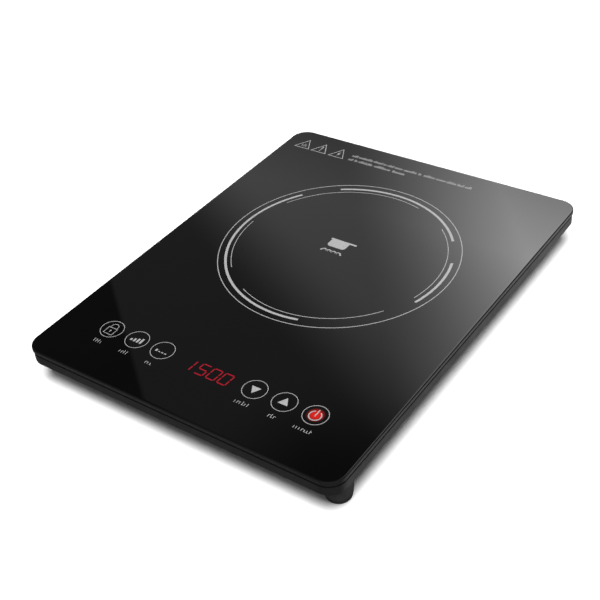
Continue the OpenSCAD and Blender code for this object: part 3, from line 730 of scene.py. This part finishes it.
def build_seal(finish):
    """A bead of silicone under the edge of the glass, pinched in the middle."""
    low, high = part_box("glass_seal")[0].z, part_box("glass_seal")[1].z
    inner = 7 * MM
    profile = [(1.1 * MM, low), (1.5 * MM, (low + high) / 2), (1.3 * MM, high), (inner, high), (inner, low)]
    made = bmesh.new()
    sweep(made, HALF_W, HALF_D, CORNER, profile, closed=True)
    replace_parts(add_object("seal_bead", made, finish), "glass_seal")


# ---------------------------------------------------------------- stage


def flat_sheet(name, size, spot, material):
    """A level sheet. Its size goes into the mesh, so that object coordinates stay in metres."""
    made = bmesh.new()
    bmesh.ops.create_grid(made, x_segments=4, y_segments=4, size=0.5)
    mesh = bpy.data.meshes.new(name)
    made.to_mesh(mesh)
    made.free()
    mesh.transform(Matrix.Diagonal((*size, 1, 1)))
    mesh.materials.append(material)
    obj = bpy.data.objects.new(name, mesh)
    obj.location = spot
    bpy.context.scene.collection.objects.link(obj)
    return obj


def add_sun(name, turn, rise, spread, power):
    """Soft daylight. Turn 0 comes from the front and 90 from the right, in degrees."""
    turn, rise = math.radians(turn), math.radians(rise)
    way = Vector((math.sin(turn) * math.cos(rise), -math.cos(turn) * math.cos(rise), math.sin(rise)))
    data = bpy.data.lights.new(name, "SUN")
    data.angle = math.radians(spread)
    data.energy = power
    lamp = bpy.data.objects.new(name, data)
    lamp.location = way * 3
    lamp.rotation_mode = "QUATERNION"
    lamp.rotation_quaternion = (-way).to_track_quat("-Z", "Y")
    lamp.visible_glossy = False
    bpy.context.scene.collection.objects.link(lamp)


def seen_only_in_gloss(obj):
    """Of all rays, only glossy ones meet this object."""
    obj.visible_camera = False
    obj.visible_diffuse = False
    obj.visible_transmission = False
    obj.visible_shadow = False


def add_gradient_panel():
    """The soft panel that the glass mirrors: dim in front, brighter towards the back right."""
    s = Surface("panel", (0, 0, 0), 1.0)
    tree = s.tree
    tree.nodes.remove(s.shader)
    glow = s.node("ShaderNodeEmission")
    tree.links.new(glow.outputs["Emission"], tree.nodes["Material Output"].inputs["Surface"])

    def along(direction):
        made = s.node("ShaderNodeVectorMath")
        made.operation = "DOT_PRODUCT"
        made.inputs[1].default_value = direction
        s.link(s.place, made.inputs[0])
        return made.outputs["Value"]

    def ramp(source, start, stop, low, high, kind="SMOOTHSTEP"):
        made = s.node("ShaderNodeMapRange", From_Min=start, From_Max=stop, To_Min=low, To_Max=high)
        made.interpolation_type = kind
        s.link(source, made.inputs["Value"])
        return made.outputs["Result"]

    def math_node(operation, a, b):
        made = s.node("ShaderNodeMath")
        made.operation = operation
        for socket, value in zip(made.inputs, (a, b)):
            if isinstance(value, float):
                socket.default_value = value
            else:
                s.link(value, socket)
        return made.outputs["Value"]

    # the front left corner, dark up to a sharp slanting line
    left = ramp(along((0.625, 0.781, 0)), -0.588, -0.575, 0.04, 0.14, "LINEAR")
    reach = s.node("ShaderNodeVectorMath")
    reach.operation = "DISTANCE"
    reach.inputs[1].default_value = (0.531, -0.698, 0)
    s.link(s.place, reach.inputs[0])
    left = math_node("MULTIPLY", left, ramp(reach.outputs["Value"], 0.05, 0.40, 0.3, 1.0))
    # the soft rise across the zone, then the bright back right
    middle = ramp(along((0.46, 0.89, 0)), -0.235, 0.083, 0.0, 0.47)
    bright = ramp(along((0.774, 0.633, 0)), 0.152, 0.645, 0.0, 1.0, "LINEAR")
    bright = math_node("MULTIPLY", math_node("POWER", bright, 1.7), 3.4)
    total = math_node("ADD", math_node("ADD", left, middle), bright)
    # dimmer towards the back edge
    total = math_node("MULTIPLY", total, ramp(along((0, 1, 0)), 0.36, 0.68, 1.0, 0.62, "LINEAR"))
    s.link(total, glow.inputs["Strength"])
    seen_only_in_gloss(flat_sheet("panel", (3.2, 3.0), (-1.214, 1.595, 1.5), s.material))


def glowing(name, low, high, direction, start, stop):
    """Light-giving paper whose strength runs from low to high along a direction."""
    s = Surface(name, (0, 0, 0), 1.0)
    s.tree.nodes.remove(s.shader)
    glow = s.node("ShaderNodeEmission")
    s.link(glow.outputs["Emission"], s.tree.nodes["Material Output"].inputs["Surface"])
    along = s.node("ShaderNodeVectorMath")
    along.operation = "DOT_PRODUCT"
    along.inputs[1].default_value = direction
    s.link(s.place, along.inputs[0])
    s.link(s.spread(along.outputs["Value"], low, high, start, stop), glow.inputs["Strength"])
    return s.material


def add_room():
    """Dim walls and ceiling round the table."""
    made = bmesh.new()
    bmesh.ops.create_icosphere(made, subdivisions=4, radius=5.5)
    mesh = bpy.data.meshes.new("room")
    made.to_mesh(mesh)
    made.free()
    mesh.materials.append(glowing("room", 0.12, 0.40, (0.66, -0.75, 0), 0.4, 5.0))
    room = bpy.data.objects.new("room", mesh)
    bpy.context.scene.collection.objects.link(room)
    seen_only_in_gloss(room)
    room.visible_diffuse = True


def add_low_cards():
    """Pale cards on the floor, one along each side, that the edges mirror."""
    gap = 2 * MM
    side, end = HALF_W + gap, HALF_D + gap
    near_x, near_y, card_z = HALF_W - 30 * MM, HALF_D - 19 * MM, 0.6 * MM
    ramp_from, ramp_to = -130 * MM, 200 * MM
    for name, x0, x1, y0, y1, low, high in (
        ("card_front", -0.9, near_x, -1.0, -end, 0.27, 0.27),
        ("card_right", side, 1.0, -near_y, 1.0, 0.56, 0.86),
        ("card_back", -0.9, near_x, end, 1.0, 0.6, 0.6),
        ("card_left", -1.0, -side, -near_y, near_y, 0.6, 0.6),
    ):
        middle = ((x0 + x1) / 2, (y0 + y1) / 2, card_z)
        paper = glowing(name, low, high, (0, 1, 0), ramp_from - middle[1], ramp_to - middle[1])
        seen_only_in_gloss(flat_sheet(name, (x1 - x0, y1 - y0), middle, paper))


def add_stage():
    paper = Surface("paper", (0.88, 0.88, 0.88), 0.9, specular=0.0)
    floor = flat_sheet("floor", (10, 10), (0, 0, 0), paper.material)
    floor.visible_glossy = False
    scene = bpy.context.scene
    scene.view_settings.view_transform = "Standard"
    # the scene has its world before the ray visibility is set, because setting it updates that world
    world = bpy.data.worlds.new("studio")
    scene.world = world
    world.use_nodes = True
    background = world.node_tree.nodes["Background"]
    background.inputs["Color"].default_value = (1, 1, 1, 1)
    background.inputs["Strength"].default_value = 1.0
    world.cycles_visibility.glossy = False
    world.cycles_visibility.diffuse = False
    add_sun("key", turn=36, rise=65, spread=25, power=5.0)
    add_gradient_panel()
    add_room()
    add_low_cards()


# ---------------------------------------------------------------- the whole scene

add_camera()
finishes = all_finishes()
slots = {part["node"]: part["material_slot"] for part in frame["record"]["subparts"]}
for name, obj in nodes.items():
    obj.data.materials.clear()
    obj.data.materials.append(finishes[slots[name]])
build_glass(finishes["black_glass"], ground_edge(), finishes["seal_silicone"])
build_seal(finishes["seal_silicone"])
build_rating_marks(label_ink())
enamel = enamel_print()
build_zone(enamel)
build_keys(enamel)
build_notes(enamel)
build_digits(lit_digits())
build_power_light(lit_disc((KEY_XS[5], KEY_Y, SURFACE_Z), 2.6 * MM, 6.6 * MM))
add_stage()
